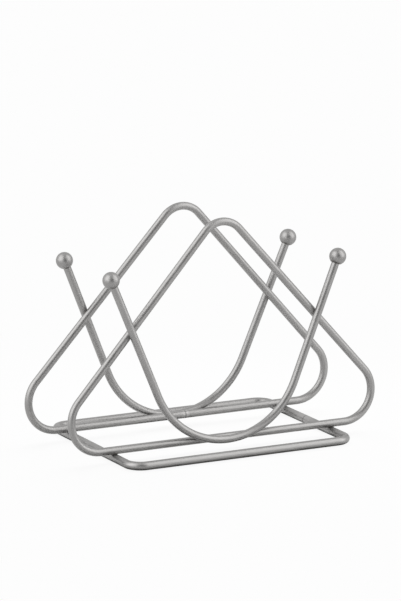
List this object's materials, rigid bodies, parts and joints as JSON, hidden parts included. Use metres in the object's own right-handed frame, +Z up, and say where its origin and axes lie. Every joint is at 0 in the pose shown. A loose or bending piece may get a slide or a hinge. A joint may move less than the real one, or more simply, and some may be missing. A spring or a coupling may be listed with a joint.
{
  "type": "napkin holder",
  "caption": "Upright napkin holder of welded round wire: two rounded triangles on a rectangular base frame, each with a U-shaped wire outside it that ends in balls.",
  "frame": {"origin": "on the table, under the middle of the base frame", "axes": "+X along the slot for the napkins, from the left to the right of the picture's near side; +Y from the front triangle to the rear one; +Z up"},
  "size_m": [0.175, 0.097, 0.1185],
  "materials": {
    "satin_steel_wire": "satin",
    "satin_steel_ball": "satin",
    "weld_metal": "satin, darkened by the weld"
  },
  "bodies": {
    "root": {"base_frame": "satin_steel_wire", "front_triangle": "satin_steel_wire", "rear_triangle": "satin_steel_wire", "front_u_wire": "satin_steel_wire", "rear_u_wire": "satin_steel_wire", "front_left_ball": "satin_steel_ball", "front_right_ball": "satin_steel_ball", "rear_left_ball": "satin_steel_ball", "rear_right_ball": "satin_steel_ball", "foot_welds": "weld_metal", "side_welds": "weld_metal", "bottom_welds": "weld_metal"}
  },
  "joints": []
}
